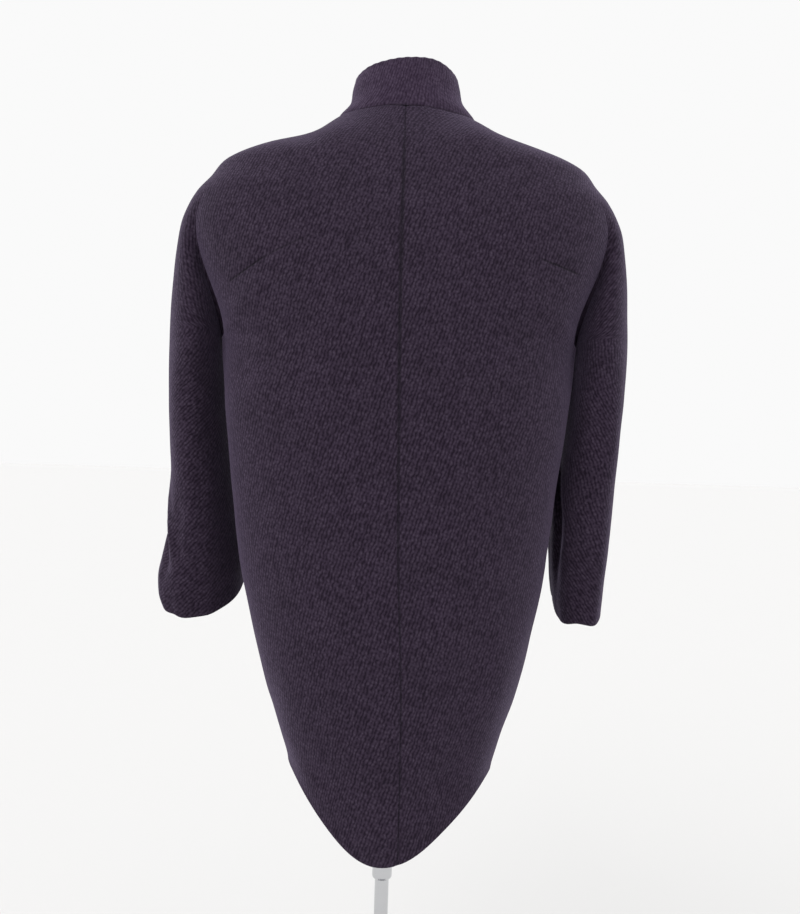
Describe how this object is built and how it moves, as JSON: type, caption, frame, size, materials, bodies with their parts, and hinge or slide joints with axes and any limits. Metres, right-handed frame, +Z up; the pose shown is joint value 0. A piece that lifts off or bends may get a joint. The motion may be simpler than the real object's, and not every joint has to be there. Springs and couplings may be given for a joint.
{
  "type": "cocoon coat on a dress form with a pole stand",
  "caption": "Dark nubby wool cocoon coat with a stand collar, wide sleeves and a hem that dips at the back, hung on a limbless dress form on a chrome pole of adjustable height.",
  "frame": {"origin": "middle of the base's underside, on the axis of the pole", "axes": "+Z up along the pole, +Y the way the coat's back faces, +X towards the coat's own left sleeve"},
  "size_m": [0.6482, 0.34, 1.4734],
  "materials": {
    "wool_twill": "matte, nubby diagonal twill",
    "form_cover": "matte jersey",
    "cap_wood": "satin",
    "chrome": "polished",
    "base_chrome": "polished"
  },
  "bodies": {
    "stand": {"stand_base": "base_chrome", "lower_pole": "chrome"},
    "height_collar": {"lock_ring": "chrome"},
    "form": {"upper_tube": "chrome", "form_torso": "form_cover", "form_neck_cap": "cap_wood", "back_left_with_sleeve": "wool_twill", "back_right_with_sleeve": "wool_twill", "front_left_with_sleeve": "wool_twill", "front_right_with_sleeve": "wool_twill", "stand_collar": "wool_twill"}
  },
  "joints": [
    {"name": "height_slide", "type": "slide", "parent": "stand", "child": "height_collar", "axis": [0, 0, 1], "range_m": [-0.12, 0.15]},
    {"name": "form_turn", "type": "hinge", "parent": "height_collar", "child": "form", "pos_m": [0, 0, 0.405], "axis": [0, 0, 1], "continuous": true}
  ]
}
